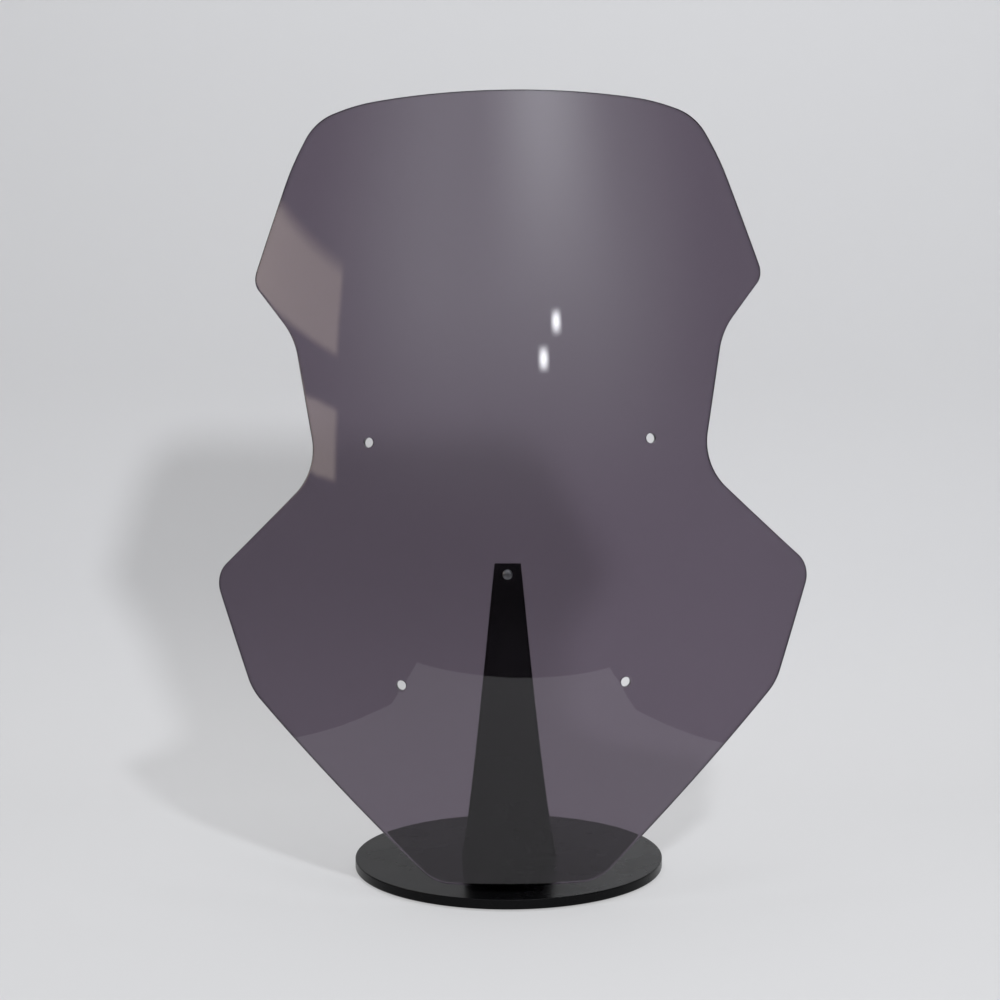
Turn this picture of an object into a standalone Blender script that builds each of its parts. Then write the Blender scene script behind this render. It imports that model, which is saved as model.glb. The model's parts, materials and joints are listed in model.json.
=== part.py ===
"""A smoked motorcycle screen that swivels on the single screw of its display stand.

Metres, +Z up. The viewer stands at -Y, and the origin is the middle of the pad's underside.
"""
import math

import bmesh
import bpy
from mathutils import Matrix, Vector
from mathutils.geometry import area_tri, delaunay_2d_cdt

MM = 0.001
GAP = 0.3 * MM  # left between pieces that touch

# The screen is a drape-formed sheet: an arc across, swept along a flatter arc up its middle.
SHEET = 3.0 * MM
ACROSS_RADIUS = 240 * MM
UP_RADIUS = 1000 * MM
LEAN = math.radians(3.0)  # how far it leans back at the screw
ROLL = math.radians(0.9)  # it stands turned a little on its screw, right side high
# The right half of the outline from the top down, in the front view: across and up from the screw's
# height, then the corner's radius, all in mm.
CORNERS = (
    (90.0, 291.2, 130.0),
    (116.4, 286.4, 26.0),
    (131.2, 260.4, 150.0),
    (157.2, 188.4, 15.0),
    (129.0, 147.0, 55.0),
    (114.9, 63.2, 38.0),
    (186.9, -5.0, 20.0),
    (161.6, -79.6, 33.0),
    (49.0, -188.5, 24.0),
)
ARC_STEP = math.radians(11)  # facets along a rounded corner
LEAST_ARC_STEPS = 2
EDGE_LENGTH = 14 * MM  # longest piece of a straight edge
GRID = 15 * MM  # spacing of the sheet's inner points
GRID_MARGIN = 0.55  # inner points keep this share of the spacing from the outline
WELD = 0.001 * MM  # points of the flat sheet closer than this are one
LEAST_AREA = 0.01 * MM * MM  # smaller triangles are slivers along a straight edge
HOLES = ((83.0, 79.0), (-83.0, 79.0), (66.0, -66.2), (-66.0, -66.2))  # mounting holes, mm
HOLE_RADIUS = 3.0 * MM
SEAT_RADIUS = 6.0 * MM  # flat land round each hole, for a washer
HOLE_SIDES = 16
SLOPE_STEP = 0.01 * MM  # short step that measures the sheet's slope at a hole
PIVOT_ACROSS = -2.3 * MM  # the screw's hole is beside the middle line
PIVOT_HOLE_RADIUS = 1.7 * MM
PIVOT_SEAT_RADIUS = 5.0 * MM

# The base, from the table up.
PAD_RADIUS = 90 * MM
PAD_HEIGHT = 1.0 * MM
DISC_RADIUS = 98 * MM
DISC_HEIGHT = 6.0 * MM
DISC_EDGE = 0.5 * MM  # broken edge of the disc
ROUND_SIDES = 80
DISC_FOOT = PAD_HEIGHT + GAP
DISC_TOP = DISC_FOOT + DISC_HEIGHT

# The screw's place on the middle of the sheet, behind which the stack of pieces is laid out.
PIVOT = Vector((0.3 * MM, -94 * MM, DISC_TOP + 193.4 * MM))
OUTWARD = Vector((0, -math.cos(LEAN), math.sin(LEAN)))
SOFT_WASHER = 1.5 * MM
SOFT_WASHER_RADIUS = 5.0 * MM
WASHER = 0.5 * MM
WASHER_RADIUS = 3.5 * MM
HEAD_RADIUS = 2.9 * MM
HEAD_HEIGHT = 2.2 * MM
SHANK_RADIUS = 1.4 * MM
NUT_HEIGHT = 4.0 * MM
NUT_RADIUS = 5.5 * MM / math.sqrt(3)
THREAD_PAST_NUT = 1.5 * MM
RECESS_LENGTH = 3.2 * MM
RECESS_WIDTH = 0.7 * MM
RECESS_DEPTH = 1.2 * MM

# The upright is one strip: a tongue on the disc, a bend, an arc and a flat end at the screw.
STRIP = 4.0 * MM
FOOT_WIDTH = 60.5 * MM
TOP_WIDTH = 15.5 * MM
TONGUE_WIDTH = 46 * MM
TONGUE_LENGTH = 38 * MM
END_ABOVE_SCREW = 6.0 * MM
END_BELOW_SCREW = 10.0 * MM
BEND_RADIUS = 12 * MM
BEND_STEPS = 6
ARC_STEPS = 24
ARC_ROUNDS = 20  # rounds that settle the arc's start against the bend

# Foot screws and their washers.
FOOT_SCREW_ACROSS = 12 * MM
FOOT_SCREW_BACK = 24 * MM
FOOT_HOLE_RADIUS = 2.75 * MM
FOOT_SHANK_RADIUS = 2.2 * MM
TAPPED_RADIUS = 2.5 * MM
FOOT_HEAD_RADIUS = 4.75 * MM
FOOT_HEAD_HEIGHT = 2.75 * MM
SOCKET_RADIUS = 3.0 * MM / math.sqrt(3)
SOCKET_DEPTH = 1.6 * MM
FOOT_WASHER = 1.0 * MM
FOOT_WASHER_RADIUS = 5.0 * MM
FOOT_SCREW_END = DISC_FOOT + 0.5 * MM
FASTENER_SIDES = 24

# Outer profiles of the two kinds of screw head, as shares of the head's radius and height.
PAN_HEAD = ((1.0, 0.0), (1.0, 0.55), (0.9, 0.8), (0.7, 0.95), (0.4, 1.0))
BUTTON_HEAD = ((1.0, 0.0), (1.0, 0.3), (0.85, 0.75), (0.6, 1.0))
SHARP_ANGLE = math.radians(40)  # a steeper edge is shaded sharp
CUT_PAST = 2.0 * MM  # a cutter runs this far past the surface it cuts

for old in list(bpy.data.objects):
    bpy.data.objects.remove(old, do_unlink=True)


def material(name, colour, roughness, metallic=0.0):
    made = bpy.data.materials.new(name)
    made.use_nodes = True
    shader = made.node_tree.nodes["Principled BSDF"]
    shader.inputs["Base Color"].default_value = (*colour, 1.0)
    shader.inputs["Roughness"].default_value = roughness
    shader.inputs["Metallic"].default_value = metallic
    return made


def add_object(name, points, faces, look, smooth_angle=None):
    mesh = bpy.data.meshes.new(name)
    mesh.from_pydata([tuple(point) for point in points], [], faces)
    tidy = bmesh.new()
    tidy.from_mesh(mesh)
    bmesh.ops.recalc_face_normals(tidy, faces=tidy.faces)
    tidy.to_mesh(mesh)
    tidy.free()
    made = bpy.data.objects.new(name, mesh)
    bpy.context.collection.objects.link(made)
    if look:
        mesh.materials.append(look)
    if smooth_angle is not None:
        mesh.shade_smooth()
        mesh.set_sharp_from_angle(angle=smooth_angle)
    return made


def lathe(name, profile, sides, look, bore=False):
    """Turns a profile of (radius, height) about Z. Without a bore its ends close on the axis."""
    points = []
    faces = []
    count = len(profile)
    for radius, height in profile:
        for i in range(sides):
            angle = 2 * math.pi * i / sides
            points.append((radius * math.cos(angle), radius * math.sin(angle), height))
    for ring in range(count if bore else count - 1):
        following = (ring + 1) % count
        for i in range(sides):
            j = (i + 1) % sides
            faces.append((ring * sides + i, ring * sides + j, following * sides + j, following * sides + i))
    if not bore:
        faces.append(tuple(range(sides)))
        faces.append(tuple((count - 1) * sides + i for i in range(sides)))
    return add_object(name, points, faces, look, SHARP_ANGLE)


def washer(name, outer, inner, height, look):
    profile = ((inner, 0), (outer, 0), (outer, height), (inner, height))
    return lathe(name, profile, FASTENER_SIDES, look, bore=True)


def cut(target, cutter):
    """Takes the cutter's shape out of the target and keeps the cutter as a hidden wire."""
    taken = target.modifiers.new(cutter.name, "BOOLEAN")
    taken.operation = "DIFFERENCE"
    taken.solver = "EXACT"
    taken.object = cutter
    cutter.hide_render = True
    cutter.display_type = "WIRE"


def rounded_half():
    """The right half of the outline from the middle of the top to the middle of the foot, in metres."""
    corners = [Vector((x, up)) * MM for x, up, _ in CORNERS]
    stops = [Vector((0, corners[0].y)), *corners, Vector((0, corners[-1].y))]
    line = [stops[0]]
    for before, corner, after, (_, _, radius) in zip(stops, stops[1:], stops[2:], CORNERS):
        back = (before - corner).normalized()
        ahead = (after - corner).normalized()
        half = back.angle(ahead) / 2
        middle = corner + (back + ahead).normalized() * (radius * MM / math.sin(half))
        spoke = corner + back * (radius * MM / math.tan(half)) - middle
        turn = (math.pi - 2 * half) * (-1 if back.cross(ahead) > 0 else 1)
        steps = max(LEAST_ARC_STEPS, math.ceil(abs(turn) / ARC_STEP))
        for step in range(steps + 1):
            line.append(middle + Matrix.Rotation(turn * step / steps, 2) @ spoke)
    line.append(stops[-1])
    return line


def spaced(line):
    """The same line with its long straight pieces divided."""
    points = [line[0]]
    for start, end in zip(line, line[1:]):
        pieces = max(1, math.ceil((end - start).length / EDGE_LENGTH))
        for step in range(1, pieces + 1):
            points.append(start.lerp(end, step / pieces))
    return points


def inside(point, loop):
    within = False
    for start, end in zip(loop, loop[1:] + loop[:1]):
        if (start.y > point.y) != (end.y > point.y):
            crossing = start.x + (point.y - start.y) * (end.x - start.x) / (end.y - start.y)
            if point.x < crossing:
                within = not within
    return within


def formed(across, up, lift):
    """A point of the sheet in the screen's own frame: X right, Y up its middle, Z out of its face."""
    rise = up / UP_RADIUS
    side = math.asin(across / ACROSS_RADIUS)
    outward = Vector((0, math.sin(rise), math.cos(rise)))
    spine = Vector((0, math.sin(rise), math.cos(rise) - 1)) * UP_RADIUS
    drop = ACROSS_RADIUS * (1 - math.cos(side))
    normal = outward * math.cos(side) + Vector((math.sin(side), 0, 0))
    return spine + Vector((across, 0, 0)) - outward * drop + normal * lift


def squeeze_at(centre):
    """How much narrower a circle on the sheet looks in the front view."""
    return math.sqrt(1 - (centre.x / ACROSS_RADIUS) ** 2)


def distance_on_sheet(point, centre):
    return math.hypot((point.x - centre.x) / squeeze_at(centre), point.y - centre.y)


def ring_round(centre, radius):
    """A circle on the sheet, drawn in the front view."""
    squeeze = squeeze_at(centre)
    points = []
    for i in range(HOLE_SIDES):
        angle = 2 * math.pi * i / HOLE_SIDES
        points.append(centre + Vector((radius * squeeze * math.cos(angle), radius * math.sin(angle))))
    return points


def make_screen(look):
    half = spaced(rounded_half())
    outline = half + [Vector((-point.x, point.y)) for point in half[-2:0:-1]]
    bores = [(Vector(hole) * MM, HOLE_RADIUS, SEAT_RADIUS) for hole in HOLES]
    bores.append((Vector((PIVOT_ACROSS, 0)), PIVOT_HOLE_RADIUS, PIVOT_SEAT_RADIUS))
    loops = [outline]
    for centre, radius, seat in bores:
        for size in (radius, seat):
            loops.append(ring_round(centre, size))
    points = []
    edges = []
    for loop in loops:
        first = len(points)
        points.extend(loop)
        edges.extend((first + i, first + (i + 1) % len(loop)) for i in range(len(loop)))
    width = max(point.x for point in outline)
    low = min(point.y for point in outline)
    high = max(point.y for point in outline)
    keep = GRID * GRID_MARGIN
    for row in range(1, int((high - low) / GRID) + 1):
        for column in range(-int(width / GRID) - 1, int(width / GRID) + 2):
            spot = Vector(((column + 0.5 * (row % 2)) * GRID, low + row * GRID))
            far_from_edge = all((spot - other).length > keep for other in outline)
            clear = all((spot - centre).length > seat + keep for centre, _, seat in bores)
            if far_from_edge and clear and inside(spot, outline):
                points.append(spot)
    flat, _, triangles, *_ = delaunay_2d_cdt(points, edges, [], 0, WELD)
    kept = []
    for face in triangles:
        middle = sum((flat[i] for i in face), Vector((0, 0))) / len(face)
        in_bore = any(distance_on_sheet(middle, centre) < radius for centre, radius, _ in bores)
        whole = area_tri(*(flat[i] for i in face)) > LEAST_AREA
        if whole and inside(middle, outline) and not in_bore:
            kept.append(tuple(face))
    seat_of = {}
    for i, point in enumerate(flat):
        for centre, _, seat in bores:
            if distance_on_sheet(point, centre) < seat + WELD:
                seat_of[i] = centre
    count = len(flat)
    placed = []
    for lift in (SHEET / 2, -SHEET / 2):
        for i, point in enumerate(flat):
            if i in seat_of:
                placed.append(on_seat(point, seat_of[i], lift))
            else:
                placed.append(formed(point.x, point.y, lift))
    faces = list(kept)
    faces.extend(tuple(count + i for i in reversed(face)) for face in kept)
    sides = {(face[i], face[(i + 1) % 3]) for face in kept for i in range(3)}
    faces.extend((b, a, count + a, count + b) for a, b in sides if (b, a) not in sides)
    used = sorted({i for face in faces for i in face})
    index = {old: new for new, old in enumerate(used)}
    faces = [tuple(index[i] for i in face) for face in sorted(faces)]
    pivot = on_seat(bores[-1][0], bores[-1][0], 0)
    return add_object("windscreen", [placed[i] - pivot for i in used], faces, look, SHARP_ANGLE)


def on_seat(point, centre, lift):
    """A point of the flat land round a hole: the sheet's tangent plane there."""
    here = formed(centre.x, centre.y, lift)
    right = (formed(centre.x + SLOPE_STEP, centre.y, lift) - here) / SLOPE_STEP
    upward = (formed(centre.x, centre.y + SLOPE_STEP, lift) - here) / SLOPE_STEP
    away = point - centre
    return here + right * away.x + upward * away.y


def strip_stations():
    """Middle line of the upright as (back, height, lean from level, width) from tongue to tip."""
    depth = SHEET / 2 + SOFT_WASHER + 2 * GAP + STRIP / 2
    screw = PIVOT - OUTWARD * depth
    along = Vector((0, math.sin(LEAN), math.cos(LEAN)))
    arc_end = screw - along * END_BELOW_SCREW
    tip = screw + along * END_ABOVE_SCREW
    level = DISC_TOP + GAP + STRIP / 2
    end_turn = math.pi / 2 + LEAN
    chord = math.atan2(arc_end.z - level, -arc_end.y)
    start_turn = 2 * chord - end_turn
    for _ in range(ARC_ROUNDS):
        reach = BEND_RADIUS * math.sin(start_turn)
        lift = BEND_RADIUS * (1 - math.cos(start_turn))
        chord = math.atan2(arc_end.z - level - lift, -arc_end.y - reach)
        start_turn = 2 * chord - end_turn
    span = math.hypot(-arc_end.y - reach, arc_end.z - level - lift)
    sweep = end_turn - start_turn
    radius = span / 2 / math.sin(sweep / 2)
    stations = [(-TONGUE_LENGTH, level, 0.0)]
    for step in range(BEND_STEPS + 1):
        turn = start_turn * step / BEND_STEPS
        stations.append((BEND_RADIUS * math.sin(turn), level + BEND_RADIUS * (1 - math.cos(turn)), turn))
    for step in range(1, ARC_STEPS + 1):
        turn = start_turn + sweep * step / ARC_STEPS
        ahead = reach + radius * (math.sin(turn) - math.sin(start_turn))
        height = level + lift + radius * (math.cos(start_turn) - math.cos(turn))
        stations.append((ahead, height, turn))
    stations.append((-tip.y, tip.z, end_turn))
    total = 0.0
    lengths = [0.0]
    for before, after in zip(stations[1:], stations[2:]):
        total += math.hypot(after[0] - before[0], after[1] - before[1])
        lengths.append(total)
    widths = [TONGUE_WIDTH] + [FOOT_WIDTH + (TOP_WIDTH - FOOT_WIDTH) * run / total for run in lengths]
    return [(-ahead, height, turn, wide) for (ahead, height, turn), wide in zip(stations, widths)]


def make_upright(look):
    points = []
    faces = []
    for back, height, turn, wide in strip_stations():
        over = Vector((0, math.sin(turn), math.cos(turn))) * STRIP / 2
        centre = Vector((PIVOT.x, back, height))
        for side, skin in ((-1, -1), (1, -1), (1, 1), (-1, 1)):
            points.append(centre + Vector((side * wide / 2, 0, 0)) + over * skin)
    last = len(points) - 4
    for ring in range(0, last, 4):
        for i in range(4):
            j = (i + 1) % 4
            faces.append((ring + i, ring + j, ring + 4 + j, ring + 4 + i))
    faces.append((0, 1, 2, 3))
    faces.append((last, last + 1, last + 2, last + 3))
    made = add_object("upright", points, faces, look)
    through = SOFT_WASHER + 2 * GAP + STRIP + CUT_PAST
    profile = ((PIVOT_HOLE_RADIUS, -through), (PIVOT_HOLE_RADIUS, 0))
    drill = lathe("pivot_drill", profile, FASTENER_SIDES, None)
    on_axis(drill, -SHEET / 2)
    cut(made, drill)
    for number, across in enumerate((-FOOT_SCREW_ACROSS, FOOT_SCREW_ACROSS), 1):
        profile = ((FOOT_HOLE_RADIUS, -CUT_PAST), (FOOT_HOLE_RADIUS, STRIP + CUT_PAST))
        drill = lathe(f"tongue_drill_{number}", profile, FASTENER_SIDES, None)
        drill.location = (across, FOOT_SCREW_BACK, DISC_TOP)
        cut(made, drill)


def on_axis(piece, distance):
    """Hangs a turned piece on the screw's axis, its own Z pointing out of the screen's face."""
    piece.parent = axis
    piece.location = (0, 0, distance)


def make_pivot_set(steel):
    head = SHEET / 2 + GAP
    back = SHEET / 2 + SOFT_WASHER + STRIP + 3 * GAP
    end = back + WASHER + NUT_HEIGHT + GAP + THREAD_PAST_NUT
    profile = [(SHANK_RADIUS, -end), (SHANK_RADIUS, head)]
    profile.extend((HEAD_RADIUS * wide, head + HEAD_HEIGHT * high) for wide, high in PAN_HEAD)
    screw = lathe("pivot_screw", profile, FASTENER_SIDES, steel)
    on_axis(screw, 0)
    floor = head + HEAD_HEIGHT - RECESS_DEPTH
    long = RECESS_LENGTH / 2
    short = RECESS_WIDTH / 2
    plus = (
        (short, short), (long, short), (long, -short), (short, -short), (short, -long), (-short, -long),
        (-short, -short), (-long, -short), (-long, short), (-short, short), (-short, long), (short, long),
    )
    recess = prism("cross_recess", plus, floor, floor + RECESS_DEPTH + CUT_PAST, None)
    on_axis(recess, 0)
    cut(screw, recess)
    rubber = material("soft_washer", (0.02, 0.02, 0.02), 0.7)
    soft = washer("soft_washer", SOFT_WASHER_RADIUS, PIVOT_HOLE_RADIUS, SOFT_WASHER, rubber)
    on_axis(soft, -SHEET / 2 - GAP - SOFT_WASHER)
    plain = washer("plain_washer", WASHER_RADIUS, PIVOT_HOLE_RADIUS, WASHER, steel)
    on_axis(plain, -back - WASHER)
    hexagon = [
        (NUT_RADIUS * math.cos(math.pi * i / 3), NUT_RADIUS * math.sin(math.pi * i / 3)) for i in range(6)
    ]
    nut = prism("lock_nut", hexagon, 0, NUT_HEIGHT, steel)
    on_axis(nut, -back - WASHER - GAP - NUT_HEIGHT)
    thread = lathe(
        "nut_thread",
        ((PIVOT_HOLE_RADIUS, -CUT_PAST), (PIVOT_HOLE_RADIUS, NUT_HEIGHT + CUT_PAST)),
        FASTENER_SIDES,
        None,
    )
    on_axis(thread, -back - WASHER - GAP - NUT_HEIGHT)
    cut(nut, thread)


def prism(name, loop, low, high, look):
    count = len(loop)
    points = [(x, y, low) for x, y in loop] + [(x, y, high) for x, y in loop]
    faces = [tuple(range(count)), tuple(range(count, 2 * count))]
    faces.extend((i, (i + 1) % count, count + (i + 1) % count, count + i) for i in range(count))
    return add_object(name, points, faces, look)


def make_base(paint):
    disc = lathe(
        "base_disc",
        (
            (DISC_RADIUS - DISC_EDGE, DISC_FOOT),
            (DISC_RADIUS, DISC_FOOT + DISC_EDGE),
            (DISC_RADIUS, DISC_TOP - DISC_EDGE),
            (DISC_RADIUS - DISC_EDGE, DISC_TOP),
        ),
        ROUND_SIDES,
        paint,
    )
    rubber = material("base_pad", (0.015, 0.015, 0.016), 0.9)
    lathe("base_pad", ((PAD_RADIUS, 0), (PAD_RADIUS, PAD_HEIGHT)), ROUND_SIDES, rubber)
    return disc


def make_foot_screws(disc, steel):
    tongue_top = DISC_TOP + GAP + STRIP
    seat = tongue_top + GAP + FOOT_WASHER + GAP
    hexagon = [
        (SOCKET_RADIUS * math.cos(math.pi * i / 3), SOCKET_RADIUS * math.sin(math.pi * i / 3))
        for i in range(6)
    ]
    for number, across in enumerate((-FOOT_SCREW_ACROSS, FOOT_SCREW_ACROSS), 1):
        place = Vector((across, FOOT_SCREW_BACK, 0))
        profile = [(FOOT_SHANK_RADIUS, FOOT_SCREW_END), (FOOT_SHANK_RADIUS, seat)]
        for wide, high in BUTTON_HEAD:
            profile.append((FOOT_HEAD_RADIUS * wide, seat + FOOT_HEAD_HEIGHT * high))
        screw = lathe(f"foot_screw_{number}", profile, FASTENER_SIDES, steel)
        screw.location = place
        top = seat + FOOT_HEAD_HEIGHT
        socket = prism(f"socket_{number}", hexagon, top - SOCKET_DEPTH, top + CUT_PAST, None)
        socket.location = place
        cut(screw, socket)
        ring = washer(f"foot_washer_{number}", FOOT_WASHER_RADIUS, FOOT_HOLE_RADIUS, FOOT_WASHER, steel)
        ring.location = place + Vector((0, 0, tongue_top + GAP))
        profile = ((TAPPED_RADIUS, DISC_FOOT - CUT_PAST), (TAPPED_RADIUS, DISC_TOP + CUT_PAST))
        drill = lathe(f"disc_drill_{number}", profile, FASTENER_SIDES, None)
        drill.location = place
        cut(disc, drill)


axis = bpy.data.objects.new("screw_axis", None)
bpy.context.collection.objects.link(axis)
axis.location = PIVOT
axis.rotation_euler = (math.pi / 2 - LEAN, 0, 0)

swivel = bpy.data.objects.new("screen_swivel", None)
bpy.context.collection.objects.link(swivel)
swivel.parent = axis
swivel.rotation_euler = (0, 0, ROLL)

screen = make_screen(material("smoked_acrylic", (0.10, 0.085, 0.105), 0.05))
screen.parent = swivel
black_paint = material("black_paint", (0.008, 0.008, 0.009), 0.18)
bright_steel = material("bright_steel", (0.16, 0.16, 0.165), 0.4, 1.0)
make_upright(black_paint)
make_pivot_set(bright_steel)
make_foot_screws(make_base(black_paint), bright_steel)
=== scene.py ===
"""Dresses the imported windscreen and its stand: fine meshes, finishes, studio and camera."""
import json
import math

import bmesh
import bpy
import numpy as np
from bpy.props import FloatProperty, FloatVectorProperty, IntProperty, PointerProperty
from mathutils import Matrix, Vector
from mathutils.geometry import area_tri, delaunay_2d_cdt


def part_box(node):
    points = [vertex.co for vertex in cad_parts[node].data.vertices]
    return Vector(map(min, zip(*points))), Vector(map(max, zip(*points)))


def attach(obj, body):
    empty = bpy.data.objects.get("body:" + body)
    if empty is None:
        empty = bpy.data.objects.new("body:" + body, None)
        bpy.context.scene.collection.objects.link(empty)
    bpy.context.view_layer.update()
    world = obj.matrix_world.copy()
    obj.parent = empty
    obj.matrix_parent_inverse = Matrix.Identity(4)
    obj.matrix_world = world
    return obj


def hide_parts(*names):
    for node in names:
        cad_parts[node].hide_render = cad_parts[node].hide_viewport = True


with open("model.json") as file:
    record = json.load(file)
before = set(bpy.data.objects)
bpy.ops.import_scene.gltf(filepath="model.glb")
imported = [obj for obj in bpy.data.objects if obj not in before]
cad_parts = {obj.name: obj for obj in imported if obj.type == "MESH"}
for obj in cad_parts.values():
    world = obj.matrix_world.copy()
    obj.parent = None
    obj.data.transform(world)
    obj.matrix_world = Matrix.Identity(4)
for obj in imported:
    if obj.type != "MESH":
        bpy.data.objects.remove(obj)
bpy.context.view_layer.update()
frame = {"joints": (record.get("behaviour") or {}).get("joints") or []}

bl_info = {
    "name": "Windscreen on a stand",
    "version": (1, 0, 0),
    "blender": (4, 5, 0),
    "location": "View3D > Sidebar > Windscreen",
    "description": "Builds the dressed windscreen, its stand and a plain studio round the packed frame",
    "category": "Object",
}

MM = 0.001

# Where the frame puts things. The joint's axis points out of the screen's face.
JOINT = frame["joints"][0]
PIVOT = Vector(JOINT["pos_m"])
OUTWARD = Vector(JOINT["axis"]).normalized()
UPWARD = OUTWARD.cross((1, 0, 0))
AXIS_FRAME = Matrix.Translation(PIVOT) @ Matrix(
    (
        (1, 0, 0, 0),
        (0, UPWARD.y, OUTWARD.y, 0),
        (0, UPWARD.z, OUTWARD.z, 0),
        (0, 0, 0, 1),
    )
)
DISC_LOW, DISC_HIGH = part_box("base_disc")
PAD_LOW, PAD_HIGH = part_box("base_pad")
UPRIGHT_LOW, UPRIGHT_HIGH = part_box("upright")

# The right half of the screen's outline from the top down, in the front view: across and up from the
# screw's height, then the corner's radius, all in mm.
CORNERS = (
    (90.0, 291.2, 130.0),
    (116.4, 286.4, 26.0),
    (131.2, 260.4, 150.0),
    (157.2, 188.4, 15.0),
    (129.0, 147.0, 55.0),
    (114.9, 63.2, 38.0),
    (186.9, -5.0, 20.0),
    (161.6, -79.6, 33.0),
    (49.0, -188.5, 24.0),
)
HOLES = ((83.0, 79.0), (-83.0, 79.0), (66.0, -66.2), (-66.0, -66.2))
EDGE_SHARE = "edge_share"  # one round the sheet's edges, nought on its faces: where the edges' painted shade goes

# Gaps and stack heights along the screw, as the imported pieces have them.
GAP = 0.3 * MM
SOFT_WASHER = 1.5 * MM
STRIP = 4.0 * MM
WASHER = 0.5 * MM
NUT_HEIGHT = 4.0 * MM

# The M3 pivot screw, its cross recess, washers and nut, and the M5 foot screws with their washers.
PIVOT_SHANK, PIVOT_HEAD, PIVOT_HEAD_HEIGHT = 1.4 * MM, 2.9 * MM, 2.2 * MM
PIVOT_BEYOND_NUT = 1.5 * MM
CROSS_LONG, CROSS_SHORT, CROSS_DEPTH = 1.6 * MM, 0.35 * MM, 1.2 * MM
PIVOT_BORE = 1.7 * MM
SOFT_WASHER_RADIUS = 5 * MM
PLAIN_WASHER_RADIUS = 3.5 * MM
NUT_ACROSS, NUT_INSET, NUT_CHAMFER = 5.5 * MM, 0.3 * MM, 0.25 * MM
FOOT_SHANK, FOOT_HEAD_SIDE, FOOT_HEAD_SHOULDER = 2.2 * MM, 0.9 * MM, 2.06 * MM
SOCKET_ACROSS, SOCKET_DEPTH = 3 * MM, 1.6 * MM
FOOT_WASHER_RADIUS, FOOT_WASHER_BORE = 5 * MM, 2.75 * MM
WASHER_EDGE = 0.12 * MM
PAD_EDGE = 0.2 * MM

# How finely round shapes, the sheet and the upright's curve are divided.
DISC_SIDES, PAD_SIDES, SMALL_SIDES, HOLE_SIDES = 256, 192, 64, 40
ARC_STEP, LEAST_ARC_STEPS = math.radians(3), 4
RIM_CLEAR, HOLE_CLEAR = 0.6, 0.3  # how far the sheet's inner points keep from rims, in mesh spacings
CORNER_STEPS = 3  # facets of a rounded corner in a profile or across the strip
LEAST_COSINE = 0.5  # an inset corner is stretched no further than this allows
FACE_RING = 0.5 * MM  # a ring on the flat beside a rounded edge keeps the rounding's shading off the face
MERGE = 0.001 * MM
LEAST_AREA = MERGE * MM
ARC_ROUNDS = 20  # rounds that settle the upright's arc against its bend
FOOT_STEPS, SWEEP_STEPS = 12, 72
LEAST_CURVE = 0.05 * MM
SHARP_ANGLE = math.radians(35)
PATCH_COLUMNS, PATCH_ROWS = 24, 12

# A colour mix node's sockets, by number because their names repeat.
MIX_SHARE, MIX_FIRST, MIX_SECOND, MIX_RESULT = 0, 6, 7, 2

# The stage, in metres. The screen mirrors lights on a ball round MIDDLE: each has its distance, the angles
# it covers from the front to the right and from level up, its strength and the faded shares of its sides,
# foot and head.
MIDDLE = Vector((0, -0.06, 0.28))
MIRRORED_LIGHTS = {
    "dim_room": (2.6, (-180, 180), (-40, 90), 0.03, (0.001, 0.001, 0.001)),
    "tent_front": (2.0, (-80, 80), (-2, 80), 1.65, (0.35, 0.4, 0.1)),
    "overhead_glow": (1.7, (-15, 45), (20, 75), 4.2, (0.5, 0.6, 0.2)),
    "bulb_high": (1.6, (13.6, 18.4), (22.6, 26.4), 30, (0.5, 0.5, 0.5)),
    "bulb_low": (1.6, (8.9, 13.7), (18.5, 22.3), 30, (0.5, 0.5, 0.5)),
    "side_light_high": (1.4, (-100, -59), (15, 26), 2.5, (0.06, 0.1, 0.25)),
    "side_light_low": (1.4, (-100, -58), (2.2, 10.5), 2.5, (0.06, 0.12, 0.12)),
}
WARM_LIGHTS = ("side_light_high", "side_light_low")
# Lamps that light the object and the paper: place, width, depth and power in watts.
LAMPS = {
    "key_lamp": ((0.36, -1.19, 1.05), 0.12, 0.12, 22),
    "ceiling_lamp": ((0, 0, 1.55), 1.2, 0.8, 12),
}
# The paper's half width from its front edge back. It is cut narrower in front, where the screen mirrors it.
PAPER_FRONT = ((-0.77, 0.45), (-0.45, 0.365), (-0.14, 0.43))
PAPER_HALF = 0.62
PAPER_BACK = 0.46
PAPER_HEIGHT = 1.5
PAPER_BEND = 0.3
BEND_STEPS = 24
FLOOR_HALF = 6.0
FLOOR_DROP = 0.001
SENSOR_WIDTH = 36.0  # the camera's, in mm


def linear(hex_colour):
    """An sRGB hex colour as linear red, green and blue."""
    shares = [int(hex_colour[i:i + 2], 16) / 255 for i in (1, 3, 5)]
    return tuple(s / 12.92 if s <= 0.04045 else ((s + 0.055) / 1.055) ** 2.4 for s in shares)


def add_node(tree, kind, settings=(), values=(), links=()):
    """Adds a node with its settings, plain socket values and links from other sockets."""
    node = tree.nodes.new(kind)
    for name, value in dict(settings).items():
        setattr(node, name, value)
    for name, value in dict(values).items():
        node.inputs[name].default_value = value
    for name, source in dict(links).items():
        tree.links.new(source, node.inputs[name])
    return node


def new_material(name):
    """A material with an empty node tree, that tree and its texture coordinates."""
    made = bpy.data.materials.new(name)
    made.use_nodes = True
    tree = made.node_tree
    tree.nodes.clear()
    return made, tree, add_node(tree, "ShaderNodeTexCoord").outputs


def finish(maker, settings):
    """The material that a maker gives, made once and shared by the pieces that have it."""
    return bpy.data.materials.get(maker.__name__) or maker(settings)


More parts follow.
